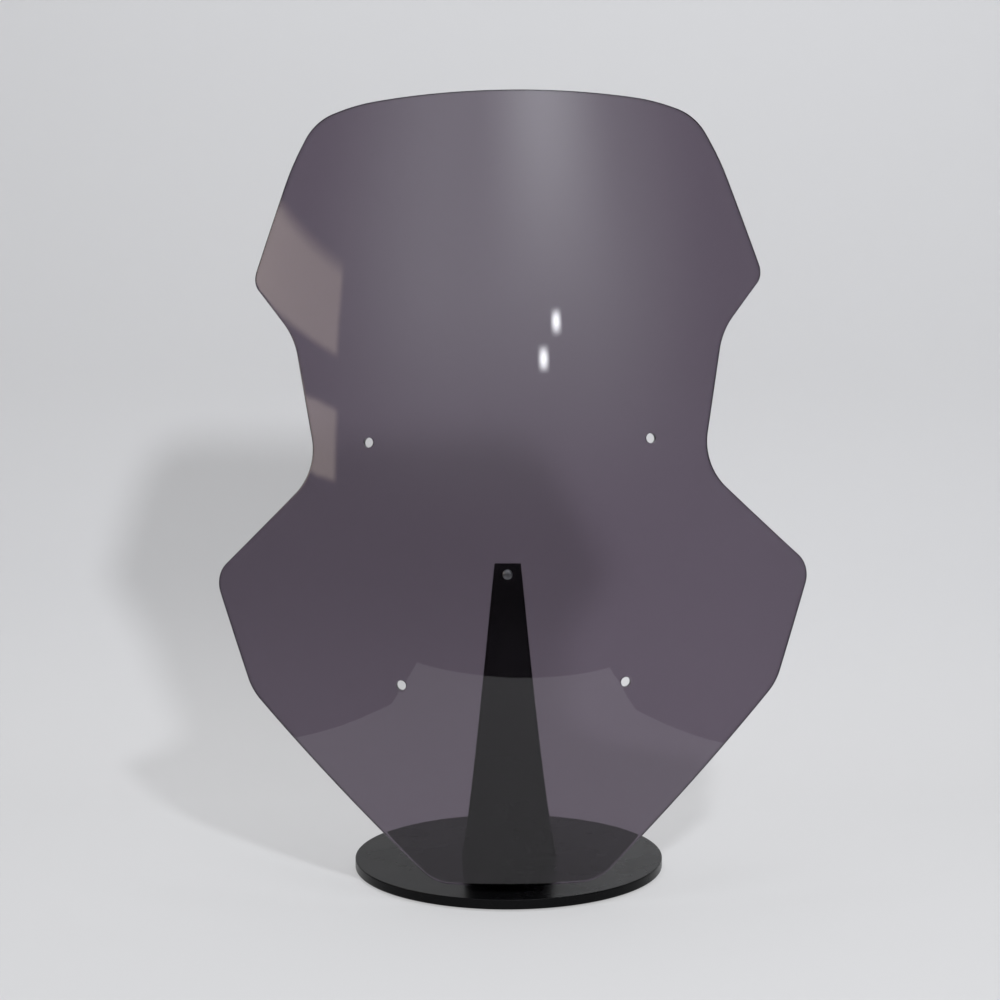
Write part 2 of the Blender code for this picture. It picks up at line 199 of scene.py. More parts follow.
def smoked_cast_acrylic(settings):
    """Cast acrylic sheet, drape formed: clear, tinted through, mirror smooth with a faint forming wave."""
    made, tree, place = new_material("smoked_cast_acrylic")
    spot = {"Vector": place["Object"]}
    # Forming leaves a slow swell some centimetres long, which only bends reflections.
    scale = {"Scale": 1 / (45 * MM), "Detail": 1.0}
    swell = add_node(tree, "ShaderNodeTexNoise", values=scale, links=spot)
    depth = {"Strength": 0.12, "Distance": 0.25 * MM}
    bump = add_node(tree, "ShaderNodeBump", values=depth, links={"Height": swell.outputs["Fac"]})
    # Wiping leaves a trace of haze in long soft patches.
    scale = {"Scale": 1 / (60 * MM), "Detail": 5.0}
    haze = add_node(tree, "ShaderNodeTexNoise", values=scale, links=spot)
    span = {"From Min": 0.35, "From Max": 0.75, "To Min": 0.012, "To Max": 0.035}
    rough = add_node(tree, "ShaderNodeMapRange", values=span, links={"Value": haze.outputs["Fac"]})
    # Light that enters at the edge runs a long way through the sheet, so the edge looks darker: that shade
    # is painted into the edge's tint.
    edge = add_node(tree, "ShaderNodeAttribute", {"attribute_name": EDGE_SHARE})
    tones = {MIX_FIRST: (*settings.tint, 1.0), MIX_SECOND: (*settings.edge_painted_shade, 1.0)}
    share = {MIX_SHARE: edge.outputs["Fac"]}
    tone = add_node(tree, "ShaderNodeMix", {"data_type": "RGBA"}, tones, share)
    shader = add_node(
        tree,
        "ShaderNodeBsdfPrincipled",
        values={"IOR": 1.49, "Transmission Weight": 1.0},
        links={
            "Base Color": tone.outputs[MIX_RESULT],
            "Roughness": rough.outputs["Result"],
            "Normal": bump.outputs["Normal"],
        },
    )
    add_node(tree, "ShaderNodeOutputMaterial", links={"Surface": shader.outputs["BSDF"]})
    return made


def black_powder_coat(settings):
    """Semi-gloss black powder coat on steel: deep black, soft reflections, a fine orange peel."""
    made, tree, place = new_material("black_powder_coat")
    spot = {"Vector": place["Object"]}
    scale = {"Scale": 1 / (1.4 * MM), "Detail": 2.0}
    peel = add_node(tree, "ShaderNodeTexNoise", values=scale, links=spot)
    depth = {"Strength": 0.10, "Distance": 0.05 * MM}
    bump = add_node(tree, "ShaderNodeBump", values=depth, links={"Height": peel.outputs["Fac"]})
    # Handling leaves slightly duller patches a few centimetres wide.
    scale = {"Scale": 1 / (30 * MM), "Detail": 4.0}
    dull = add_node(tree, "ShaderNodeTexNoise", values=scale, links=spot)
    span = {"From Min": 0.3, "From Max": 0.7, "To Min": 0.22, "To Max": 0.3}
    rough = add_node(tree, "ShaderNodeMapRange", values=span, links={"Value": dull.outputs["Fac"]})
    shader = add_node(
        tree,
        "ShaderNodeBsdfPrincipled",
        values={"Base Color": (*settings.paint, 1.0), "IOR": 1.5, "Specular IOR Level": 0.09},
        links={"Roughness": rough.outputs["Result"], "Normal": bump.outputs["Normal"]},
    )
    add_node(tree, "ShaderNodeOutputMaterial", links={"Surface": shader.outputs["BSDF"]})
    return made


def zinc_plated_steel(settings):
    """Dull zinc-plated steel: grey metal with a broken, satin shine, lit in part by painted glints on its
    crystals.
    """
    made, tree, place = new_material("zinc_plated_steel")
    # The plating's crystals are drawn at 0.4 mm, coarser than real, so that they show.
    scale = {"Scale": 1 / (0.4 * MM), "Detail": 3.0}
    grain = add_node(tree, "ShaderNodeTexNoise", values=scale, links={"Vector": place["Object"]})
    # The lighter crystals are a painted glint, for crystals that face the light; the noise spreads them at
    # random.
    painted_glint = [1.35 * channel for channel in settings.steel]
    tones = {MIX_FIRST: (*settings.steel, 1.0), MIX_SECOND: (*painted_glint, 1.0)}
    share = {MIX_SHARE: grain.outputs["Fac"]}
    tone = add_node(tree, "ShaderNodeMix", {"data_type": "RGBA"}, tones, share)
    span = {"From Min": 0.3, "From Max": 0.7, "To Min": 0.32, "To Max": 0.48}
    rough = add_node(tree, "ShaderNodeMapRange", values=span, links={"Value": grain.outputs["Fac"]})
    shader = add_node(
        tree,
        "ShaderNodeBsdfPrincipled",
        values={"Metallic": 1.0},
        links={"Base Color": tone.outputs[MIX_RESULT], "Roughness": rough.outputs["Result"]},
    )
    add_node(tree, "ShaderNodeOutputMaterial", links={"Surface": shader.outputs["BSDF"]})
    return made


def moulded_black_rubber(settings):
    """Moulded black rubber: matt, with a fine pebbled skin."""
    made, tree, place = new_material("moulded_black_rubber")
    scale = {"Scale": 1 / (0.8 * MM)}
    pebble = add_node(tree, "ShaderNodeTexVoronoi", values=scale, links={"Vector": place["Object"]})
    depth = {"Strength": 0.3, "Distance": 0.08 * MM}
    bump = add_node(tree, "ShaderNodeBump", values=depth, links={"Height": pebble.outputs["Distance"]})
    shader = add_node(
        tree,
        "ShaderNodeBsdfPrincipled",
        values={"Base Color": (*settings.rubber, 1.0), "Roughness": 0.75},
        links={"Normal": bump.outputs["Normal"]},
    )
    add_node(tree, "ShaderNodeOutputMaterial", links={"Surface": shader.outputs["BSDF"]})
    return made


def mesh_object(name, points, faces, material=None, closed=True):
    """A smooth-shaded mesh at the origin. A closed one has its faces turned outwards."""
    mesh = bpy.data.meshes.new(name)
    mesh.from_pydata([tuple(point) for point in points], [], faces)
    if closed:
        tidy = bmesh.new()
        tidy.from_mesh(mesh)
        bmesh.ops.recalc_face_normals(tidy, faces=tidy.faces)
        tidy.to_mesh(mesh)
        tidy.free()
    mesh.shade_smooth()
    made = bpy.data.objects.new(name, mesh)
    bpy.context.scene.collection.objects.link(made)
    if material:
        mesh.materials.append(material)
    return made


def settle(piece):
    """Turns the evaluated piece into a plain mesh, takes its modifiers off and keeps its name."""
    graph = bpy.context.evaluated_depsgraph_get()
    mesh = bpy.data.meshes.new_from_object(piece.evaluated_get(graph), depsgraph=graph)
    piece.modifiers.clear()
    old = piece.data
    piece.data = mesh
    bpy.data.meshes.remove(old)
    mesh.name = piece.name


def take_place(piece, body, slot, *nodes):
    """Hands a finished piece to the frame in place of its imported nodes."""
    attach(piece, body)
    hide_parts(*nodes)


def ringed_faces(count, size, looped=False):
    """Faces over rings of points. The last ring joins the first where looped, else both ends close."""
    faces = []
    for ring in range(count if looped else count - 1):
        after = (ring + 1) % count
        for i in range(size):
            j = (i + 1) % size
            faces.append((ring * size + i, ring * size + j, after * size + j, after * size + i))
    if not looped:
        faces.append(tuple(range(size)))
        faces.append(tuple((count - 1) * size + i for i in range(size)))
    return faces


def lathed(name, profile, sides, bore=False, material=None):
    """Turns a profile of (radius, height) about Z. Without a bore its ends close on the axis."""
    turns = np.arange(sides) * (2 * math.pi / sides)
    points = [
        (radius * math.cos(turn), radius * math.sin(turn), height)
        for radius, height in profile
        for turn in turns
    ]
    return mesh_object(name, points, ringed_faces(len(profile), sides, bore), material)


def corner_arc(before, corner, after, radius):
    """Middle, first spoke and turn of the arc that rounds a corner."""
    back = (before - corner).normalized()
    ahead = (after - corner).normalized()
    half = back.angle(ahead) / 2
    middle = corner + (back + ahead).normalized() * (radius / math.sin(half))
    spoke = corner + back * (radius / math.tan(half)) - middle
    return middle, spoke, (math.pi - 2 * half) * (-1 if back.cross(ahead) > 0 else 1)


def rounded_profile(corners):
    """Rounds the corners of a (radius, height, rounding) profile and adds a point beside each rounding."""
    line = []
    spots = [Vector(corner[:2]) for corner in corners]
    for before, spot, after, (_, _, rounding) in zip(spots[-1:] + spots, spots, spots[1:] + spots, corners):
        if not rounding:
            line.append(spot)
            continue
        middle, spoke, turn = corner_arc(before, spot, after, rounding)
        turns = [turn * step / CORNER_STEPS for step in range(CORNER_STEPS + 1)]
        arc = [middle + Matrix.Rotation(turned, 2) @ spoke for turned in turns]
        line.extend((2 * arc[0] - spot, *arc, 2 * arc[-1] - spot))
    return [tuple(point) for point in line]


def outline_loop(step):
    """The whole outline of the screen in the front view, in metres, clockwise from the top's middle."""
    corners = [Vector((x, up)) * MM for x, up, _ in CORNERS]
    stops = [Vector((0, corners[0].y)), *corners, Vector((0, corners[-1].y))]
    rough_line = [stops[0]]
    for before, corner, after, (_, _, radius) in zip(stops, stops[1:], stops[2:], CORNERS):
        middle, spoke, turn = corner_arc(before, corner, after, radius * MM)
        steps = max(LEAST_ARC_STEPS, math.ceil(abs(turn) / ARC_STEP))
        rough_line.extend(middle + Matrix.Rotation(turn * k / steps, 2) @ spoke for k in range(steps + 1))
    rough_line.append(stops[-1])
    half_line = [rough_line[0]]
    for start, end in zip(rough_line, rough_line[1:]):
        pieces = max(1, math.ceil((end - start).length / step))
        half_line.extend(start.lerp(end, k / pieces) for k in range(1, pieces + 1))
    return half_line + [Vector((-point.x, point.y)) for point in half_line[-2:0:-1]]


def inset_loop(loop, distance):
    """A clockwise loop moved inwards by a distance, point for point."""
    moved = []
    for before, here, after in zip(loop[-1:] + loop[:-1], loop, loop[1:] + loop[:1]):
        first = (here - before).normalized()
        second = (after - here).normalized()
        along = (first + second).normalized()
        inward = Vector((along.y, -along.x))
        moved.append(here + inward * (distance / max(LEAST_COSINE, along.dot(first))))
    return moved


def circle_loop(centre, radius, squeeze, sides):
    """A round hole of the sheet as the front view shows it, counter-clockwise."""
    turns = np.arange(sides) * (2 * math.pi / sides)
    return [
        centre + Vector((radius * squeeze * math.cos(turn), radius * math.sin(turn))) for turn in turns
    ]


def inside(spots, loop):
    """Which of an array of spots lie inside a loop."""
    ends = np.array(loop)
    starts = np.roll(ends, 1, axis=0)
    x, y = spots[:, :1], spots[:, 1:]
    spans = (starts[:, 1] > y) != (ends[:, 1] > y)
    rise = np.where(ends[:, 1] == starts[:, 1], 1, ends[:, 1] - starts[:, 1])
    crossing = starts[:, 0] + (y - starts[:, 1]) * (ends[:, 0] - starts[:, 0]) / rise
    return (spans & (x < crossing)).sum(axis=1) % 2 == 1


def edge_steps(thickness, rounding, steps=4):
    """Inset and lift of each ring over a sheet's rounded edge, from its front face to its back."""
    flat = thickness / 2 - rounding
    quarter = [math.pi / 2 * k / steps for k in range(steps + 1)]
    front = [(rounding * (1 - math.sin(a)), flat + rounding * math.cos(a)) for a in quarter]
    front.insert(0, (rounding + FACE_RING, thickness / 2))
    return front + [(inset, -lift) for inset, lift in reversed(front)]


def flat_blank(settings):
    """The screen's sheet as cut, still flat: closed, with rounded edges and round holes."""
    across = settings.across_radius
    grid = settings.mesh_size
    outer = outline_loop(grid)
    outer_edge = edge_steps(settings.thickness, settings.edge_rounding)
    hole_edge = edge_steps(settings.thickness, settings.hole_rounding, 2)
    holes = [(Vector(hole) * MM, settings.hole_radius) for hole in HOLES]
    holes.append((Vector((settings.pivot_across, 0)), settings.pivot_hole_radius))
    rims = [[inset_loop(outer, inset) for inset, _ in outer_edge]]
    for centre, radius in holes:
        squeeze = math.sqrt(1 - (centre.x / across) ** 2)
        rims.append([circle_loop(centre, radius + inset, squeeze, HOLE_SIDES) for inset, _ in hole_edge])
    lifts = [[lift for _, lift in outer_edge]] + [[lift for _, lift in hole_edge]] * len(holes)
    loops = [rim[0] for rim in rims]
    corner_points = [point for loop in loops for point in loop]
    edges = []
    first = 0
    for loop in loops:
        edges.extend((first + i, first + (i + 1) % len(loop)) for i in range(len(loop)))
        first += len(loop)
    bounds = np.array(outer)
    low, high = bounds.min(axis=0), bounds.max(axis=0)
    rows = np.arange(low[1] + grid / 2, high[1], grid * math.sqrt(3) / 2)
    spots = np.array([
        (x + grid / 2 * (row % 2), y)
        for row, y in enumerate(rows)
        for x in np.arange(-math.ceil(-low[0] / grid) * grid, high[0] + grid, grid)
    ])
    spots = spots[inside(spots, loops[0])]
    rim_points = np.array(corner_points)
    distance = np.sqrt(((spots[:, None, :] - rim_points[None]) ** 2).sum(axis=2)).min(axis=1)
    spots = spots[distance > RIM_CLEAR * grid]
    for centre, radius in holes:
        away = np.hypot(spots[:, 0] - centre.x, spots[:, 1] - centre.y)
        spots = spots[away > radius + HOLE_CLEAR * grid]
    seeds = corner_points + [Vector(spot) for spot in spots.tolist()]
    flat, _, triangles, *_ = delaunay_2d_cdt(seeds, edges, [], 0, MERGE)
    middles = np.array([[sum(flat[i][k] for i in face) / 3 for k in (0, 1)] for face in triangles])
    keep = inside(middles, loops[0])
    for loop in loops[1:]:
        keep &= ~inside(middles, loop)
    kept = [
        face
        for face, good in zip(triangles, keep)
        if good and area_tri(*(flat[i] for i in face)) > LEAST_AREA
    ]
    count = len(flat)
    half = settings.thickness / 2
    points = [(p.x, p.y, half) for p in flat] + [(p.x, p.y, -half) for p in flat]
    faces = [tuple(face) for face in kept] + [tuple(count + i for i in reversed(face)) for face in kept]
    first = 0
    for rim, rim_lifts in zip(rims, lifts):
        size = len(rim[0])
        rings = [[first + i for i in range(size)]]
        for loop, lift in list(zip(rim, rim_lifts))[1:-1]:
            rings.append([len(points) + i for i in range(size)])
            points.extend((p.x, p.y, lift) for p in loop)
        rings.append([count + first + i for i in range(size)])
        for upper, lower in zip(rings, rings[1:]):
            for i in range(size):
                j = (i + 1) % size
                faces.append((upper[i], upper[j], lower[j], lower[i]))
        first += size
    return points, faces


def new_tree(name, inputs):
    """A geometry tree with named inputs and a material, and its input sockets."""
    tree = bpy.data.node_groups.new(name, "GeometryNodeTree")
    for label, kind in {"Geometry": "Geometry", **inputs, "Material": "Material"}.items():
        tree.interface.new_socket(label, in_out="INPUT", socket_type=f"NodeSocket{kind}")
    tree.interface.new_socket("Geometry", in_out="OUTPUT", socket_type="NodeSocketGeometry")
    return tree, add_node(tree, "NodeGroupInput").outputs


def end_tree(tree, geometry, material):
    """Makes instances real, dresses the result and hands it out."""
    real = add_node(tree, "GeometryNodeRealizeInstances", links={"Geometry": geometry})
    dressing = {"Geometry": real.outputs[0], "Material": material}
    dressed = add_node(tree, "GeometryNodeSetMaterial", links=dressing)
    add_node(tree, "NodeGroupOutput", links={"Geometry": dressed.outputs[0]})


def forming_tree():
    """Node tree that forms a flat sheet: an arc across, swept along a flatter arc up the middle."""
    tree, given = new_tree("form_sheet", {"Across Radius": "Float", "Up Radius": "Float"})
    place = add_node(tree, "GeometryNodeInputPosition")
    spot = add_node(tree, "ShaderNodeSeparateXYZ", links={0: place.outputs[0]}).outputs
    known = {
        "across": given["Across Radius"], "up": given["Up Radius"],
        "x": spot["X"], "y": spot["Y"], "lift": spot["Z"],
    }
    for name, operation, *sources in (
        ("share", "DIVIDE", "x", "across"),
        ("side", "ARCSINE", "share"),
        ("rise", "DIVIDE", "y", "up"),
        ("reach", "ADD", "across", "lift"),
        ("side_cosine", "COSINE", "side"),
        ("side_sine", "SINE", "side"),
        ("rise_cosine", "COSINE", "rise"),
        ("rise_sine", "SINE", "rise"),
        ("spread", "SUBTRACT", "up", "across"),
        ("inward", "MULTIPLY", "reach", "side_cosine"),
        ("ring", "ADD", "spread", "inward"),
        ("ring_height", "MULTIPLY", "ring", "rise_cosine"),
        ("formed_x", "MULTIPLY", "reach", "side_sine"),
        ("formed_y", "MULTIPLY", "ring", "rise_sine"),
        ("formed_z", "SUBTRACT", "ring_height", "up"),
    ):
        links = {i: known[source] for i, source in enumerate(sources)}
        known[name] = add_node(tree, "ShaderNodeMath", {"operation": operation}, links=links).outputs[0]
    axes = {axis: known[f"formed_{axis.lower()}"] for axis in "XYZ"}
    formed = add_node(tree, "ShaderNodeCombineXYZ", links=axes)
    ends = {"Geometry": given["Geometry"], "Position": formed.outputs[0]}
    moved = add_node(tree, "GeometryNodeSetPosition", links=ends)
    end_tree(tree, moved.outputs[0], given["Material"])
    return tree


def instancing_tree():
    """Node tree that sets copies of one object along a line."""
    inputs = {"Count": "Int", "Start": "Vector", "Spacing": "Vector", "Copied": "Object"}
    tree, given = new_tree("set_along_line", inputs)
    places = {"Count": given["Count"], "Start Location": given["Start"], "Offset": given["Spacing"]}
    line = add_node(tree, "GeometryNodeMeshLine", links=places)
    copied = add_node(tree, "GeometryNodeObjectInfo", links={"Object": given["Copied"]})
    ends = {"Points": line.outputs[0], "Instance": copied.outputs["Geometry"]}
    copies = add_node(tree, "GeometryNodeInstanceOnPoints", links=ends)
    end_tree(tree, copies.outputs[0], given["Material"])
    return tree


def apply_tree(piece, tree, values):
    """Runs a node tree on a piece with its inputs set by identifier, then settles it."""
    nodes = piece.modifiers.new(tree.name, "NODES")
    nodes.node_group = tree
    identifiers = {
        item.name: item.identifier for item in tree.interface.items_tree if item.in_out == "INPUT"
    }
    for name, value in values.items():
        nodes[identifiers[name]] = value
    settle(piece)


def strip_stations(settings, sheet_half):
    """Middle line of the upright as (back, height, angle from level) from its tongue to its tip."""
    depth = sheet_half + SOFT_WASHER + 2 * GAP + STRIP / 2
    screw = PIVOT - OUTWARD * depth
    arc_end = screw - UPWARD * settings.end_below_screw
    tip = screw + UPWARD * settings.end_above_screw
    level = UPRIGHT_LOW.z + STRIP / 2
    end_turn = math.atan2(UPWARD.z, -UPWARD.y)
    bend = settings.bend_radius
    start_turn = 2 * math.atan2(arc_end.z - level, -arc_end.y) - end_turn
    for _ in range(ARC_ROUNDS):
        reach = bend * math.sin(start_turn)
        lift = bend * (1 - math.cos(start_turn))
        start_turn = 2 * math.atan2(arc_end.z - level - lift, -arc_end.y - reach) - end_turn
    span = math.hypot(-arc_end.y - reach, arc_end.z - level - lift)
    sweep = end_turn - start_turn
    radius = span / 2 / math.sin(sweep / 2)
    stations = [(-UPRIGHT_HIGH.y, level, 0.0)]
    for step in range(FOOT_STEPS + 1):
        turn = start_turn * step / FOOT_STEPS
        stations.append((bend * math.sin(turn), level + bend * (1 - math.cos(turn)), turn))
    for step in range(1, SWEEP_STEPS + 1):
        turn = start_turn + sweep * step / SWEEP_STEPS
        ahead = reach + radius * (math.sin(turn) - math.sin(start_turn))
        height = level + lift + radius * (math.cos(start_turn) - math.cos(turn))
        stations.append((ahead, height, turn))
    stations.append((-tip.y, tip.z, end_turn))
    return [(-ahead, height, turn) for ahead, height, turn in stations]


def strip_section(width, inset, rounding):
    """Rounded rectangle across the strip, with a point beside each rounding so that flats stay flat."""
    curve = max(rounding - inset, LEAST_CURVE)
    half_width = width / 2 - inset - curve
    half_thick = STRIP / 2 - inset - curve
    section = []
    for quarter, (side, skin) in enumerate(((1, 1), (-1, 1), (-1, -1), (1, -1))):
        middle = Vector((side * half_width, skin * half_thick))
        turns = [math.pi / 2 * (quarter + step / CORNER_STEPS) for step in range(CORNER_STEPS + 1)]
        arc = [middle + curve * Vector((math.cos(turn), math.sin(turn))) for turn in turns]
        first, last = (curve * Vector((-math.sin(turn), math.cos(turn))) for turn in (turns[0], turns[-1]))
        section.extend([arc[0] - first, *arc, arc[-1] + last])
    return section


class ScreenSettings(bpy.types.PropertyGroup):
    """Sizes and colour of the screen."""

    thickness: FloatProperty(name="Sheet", description="Thickness", default=3 * MM, unit="LENGTH")
    across_radius: FloatProperty(
        name="Radius Across", description="Radius across the middle", default=240 * MM, unit="LENGTH"
    )
    up_radius: FloatProperty(
        name="Radius Up", description="Radius up the middle line", default=1000 * MM, unit="LENGTH"
    )
    roll: FloatProperty(
        name="Roll",
        description="How far the screen stands turned on its screw, right side high",
        default=math.radians(0.9),
        subtype="ANGLE",
    )
    edge_rounding: FloatProperty(
        name="Edge", description="Rounding of the polished edge", default=1.1 * MM, unit="LENGTH"
    )
    hole_rounding: FloatProperty(
        name="Hole Edge", description="Rounding of a hole's edge", default=0.3 * MM, unit="LENGTH"
    )
    hole_radius: FloatProperty(
        name="Hole", description="Radius of a mounting hole", default=3 * MM, unit="LENGTH"
    )
    pivot_across: FloatProperty(
        name="Screw Across", description="Place of the screw's hole", default=-2.3 * MM, unit="LENGTH"
    )
    pivot_hole_radius: FloatProperty(
        name="Screw Hole", description="Radius of the screw's hole", default=1.7 * MM, unit="LENGTH"
    )
    mesh_size: FloatProperty(
        name="Mesh", description="Spacing of the sheet's points", default=4.5 * MM, unit="LENGTH"
    )
    tint: FloatVectorProperty(
        name="Tint", description="Colour that passes through", default=linear("#746a77"), subtype="COLOR"
    )
    # The edges' darker tone is painted shade, for light's long run through the sheet.
    edge_painted_shade: FloatVectorProperty(
        name="Edge Tint", description="Colour of the edges", default=linear("#3c363e"), subtype="COLOR"
    )


class StandSettings(bpy.types.PropertyGroup):
    """Sizes and colours of the stand and its fasteners."""

    foot_width: FloatProperty(
        name="Foot Width", description="Upright's width at the disc", default=60.5 * MM, unit="LENGTH"
    )
    top_width: FloatProperty(
        name="Top Width", description="Upright's width at its tip", default=15.5 * MM, unit="LENGTH"
    )
    tongue_width: FloatProperty(
        name="Tongue Width", description="Width of the tongue's back end", default=46 * MM, unit="LENGTH"
    )
    end_above_screw: FloatProperty(
        name="Above Screw", description="Upright's reach above the screw", default=6 * MM, unit="LENGTH"
    )
    end_below_screw: FloatProperty(
        name="Below Screw", description="Flat stretch below the screw", default=10 * MM, unit="LENGTH"
    )
    bend_radius: FloatProperty(
        name="Bend", description="Radius of the bend at the foot", default=12 * MM, unit="LENGTH"
    )
    strip_edge: FloatProperty(
        name="Strip Edge", description="Rounding of the upright's edges", default=0.6 * MM, unit="LENGTH"
    )
    disc_edge: FloatProperty(
        name="Disc Edge", description="Rounding of the disc's edges", default=0.5 * MM, unit="LENGTH"
    )
    foot_screw_across: FloatProperty(
        name="Screw Spacing", description="Foot screw from the middle", default=12 * MM, unit="LENGTH"
    )
    foot_screw_back: FloatProperty(
        name="Screw Back", description="Foot screw behind the middle", default=24 * MM, unit="LENGTH"
    )
    screw_count: IntProperty(name="Foot Screws", description="How many hold the tongue", default=2)
    paint: FloatVectorProperty(
        name="Paint", description="Powder coat", default=linear("#0a0a0b"), subtype="COLOR"
    )
    steel: FloatVectorProperty(
        name="Steel", description="Zinc plating", default=linear("#6b6b6e"), subtype="COLOR"
    )
    rubber: FloatVectorProperty(
        name="Rubber", description="Washer and pad", default=linear("#1b1b1c"), subtype="COLOR"
    )


class StageSettings(bpy.types.PropertyGroup):
    """Studio and camera."""

    distance: FloatProperty(
        name="Distance", description="Camera to the disc's middle", default=1250 * MM, unit="LENGTH"
    )
    elevation: FloatProperty(
        name="Elevation",
        description="Camera's height seen from the disc",
        default=math.radians(15.94),
        subtype="ANGLE",
    )
    pitch: FloatProperty(
        name="Pitch", description="Camera's look down", default=math.radians(5.485), subtype="ANGLE"
    )
    aside: FloatProperty(
        name="Aside", description="Camera right of the middle plane", default=10.9 * MM, unit="LENGTH"
    )
    lens: FloatProperty(name="Lens", description="Focal length in mm on 36 mm", default=68.985)
    shift: FloatProperty(name="Shift", description="Sideways framing", default=-0.0258)
    wall: FloatVectorProperty(
        name="Wall", description="Paper behind the object", default=linear("#cdcdce"), subtype="COLOR"
    )
    floor: FloatVectorProperty(
        name="Floor", description="Paper under the object", default=linear("#d3d3d4"), subtype="COLOR"
    )
    wall_held: FloatProperty(
        name="Wall Held", description="Share of the wall's level that no lamp changes", default=0.5
    )
    floor_held: FloatProperty(
        name="Floor Held", description="Share of the floor's level that no lamp changes", default=0.68
    )
    room: FloatVectorProperty(
        name="Room", description="What lights the shade", default=linear("#48484a"), subtype="COLOR"
    )
    daylight: FloatVectorProperty(
        name="Daylight", description="Colour of the lamps", default=linear("#f9fbff"), subtype="COLOR"
    )
    warm: FloatVectorProperty(
        name="Warm", description="Colour of the side lights", default=linear("#ffecdc"), subtype="COLOR"
    )


class WINDSCREEN_OT_screen(bpy.types.Operator):
    """Cut the flat blank and form it into the curved screen"""

    bl_idname = "windscreen.screen"
    bl_label = "Form Screen"

    def execute(self, context):
        settings = context.scene.windscreen_screen
        points, faces = flat_blank(settings)
        piece = mesh_object("screen_sheet", points, faces)
        # Each point's depth into the rounded edge, which places the edges' painted shade.
        below = [settings.thickness / 2 - abs(lift) for _, _, lift in points]
        shares = [min(1, depth / settings.hole_rounding) for depth in below]
        piece.data.attributes.new(EDGE_SHARE, "FLOAT", "POINT").data.foreach_set("value", shares)
        values = {
            "Across Radius": settings.across_radius,
            "Up Radius": settings.up_radius,
            "Material": finish(smoked_cast_acrylic, settings),
        }
        apply_tree(piece, forming_tree(), values)
        side = math.asin(settings.pivot_across / settings.across_radius)
        drop = settings.across_radius * (1 - math.cos(side))
        hole = Vector((settings.pivot_across, 0, -drop))
        roll = Matrix.Rotation(settings.roll, 4, "Z")
        piece.data.transform(AXIS_FRAME @ roll @ Matrix.Translation(-hole))
        take_place(piece, "screen", "smoked_acrylic", "windscreen")
        return {"FINISHED"}


class WINDSCREEN_OT_upright(bpy.types.Operator):
    """Sweep the tapered strip from its tongue to its tip"""

    bl_idname = "windscreen.upright"
    bl_label = "Shape Upright"

    def execute(self, context):
        settings = context.scene.windscreen_stand
        stations = strip_stations(settings, context.scene.windscreen_screen.thickness / 2)
        lengths = [0.0]
        for before, after in zip(stations[1:], stations[2:]):
            lengths.append(lengths[-1] + math.hypot(after[0] - before[0], after[1] - before[1]))
        widths = [settings.tongue_width]
        taper = settings.top_width - settings.foot_width
        widths.extend(settings.foot_width + taper * run / lengths[-1] for run in lengths)
        edge = settings.strip_edge
        rounding = [math.pi / 2 * step / CORNER_STEPS for step in range(CORNER_STEPS + 1)]
        ends = [(edge * (1 - math.sin(turn)), edge * (1 - math.cos(turn))) for turn in rounding]
        slices = [(0, shift, inset) for shift, inset in reversed(ends)]
        slices.extend((i, 0, 0) for i in range(1, len(stations) - 1))
        slices.extend((-1, -shift, inset) for shift, inset in ends)
        rings = []
        for i, shift, inset in slices:
            back, height, turn = stations[i]
            along = Vector((0, -math.cos(turn), math.sin(turn)))
            over = Vector((0, math.sin(turn), math.cos(turn)))
            centre = Vector((PIVOT.x, back, height)) + along * shift
            rings.append([
                centre + Vector((point.x, 0, 0)) + over * point.y
                for point in strip_section(widths[i], inset, edge)
            ])
        points = [point for ring in rings for point in ring]
        faces = ringed_faces(len(rings), len(rings[0]))
        piece = mesh_object("upright_strip", points, faces, finish(black_powder_coat, settings))
        take_place(piece, "stand", "black_paint", "upright")
        return {"FINISHED"}


class WINDSCREEN_OT_base(bpy.types.Operator):
    """Turn the disc and the pad under it"""

    bl_idname = "windscreen.base"
    bl_label = "Turn Base"

    def execute(self, context):
        settings = context.scene.windscreen_stand
        for name, node, slot, low, high, edge, sides, maker in (
            ("base_plate", "base_disc", "black_paint", DISC_LOW, DISC_HIGH, settings.disc_edge, DISC_SIDES,
             black_powder_coat),
            ("base_mat", "base_pad", "base_pad", PAD_LOW, PAD_HIGH, PAD_EDGE, PAD_SIDES,
             moulded_black_rubber),
        ):
            profile = rounded_profile((
                (high.x / 2, low.z, 0),
                (high.x, low.z, edge),
                (high.x, high.z, edge),
                (high.x / 2, high.z, 0),
            ))
            plate = lathed(name, profile, sides, material=finish(maker, settings))
            take_place(plate, "stand", slot, node)
        return {"FINISHED"}


def cut_with(piece, cutter):
    """Takes a cutter's shape out of a piece and removes the cutter."""
    taken = piece.modifiers.new("cut", "BOOLEAN")
    taken.operation = "DIFFERENCE"
    taken.solver = "EXACT"
    taken.object = cutter
    settle(piece)
    bpy.data.objects.remove(cutter, do_unlink=True)
    piece.data.set_sharp_from_angle(angle=SHARP_ANGLE)


def fine_washer(name, outer, inner, height, material):
    """A flat washer with rounded edges."""
    rounding = min(WASHER_EDGE, height / 4)
    profile = rounded_profile((
        (inner, 0, rounding), (outer, 0, rounding), (outer, height, rounding), (inner, height, rounding)
    ))
    return lathed(name, profile, SMALL_SIDES, bore=True, material=material)


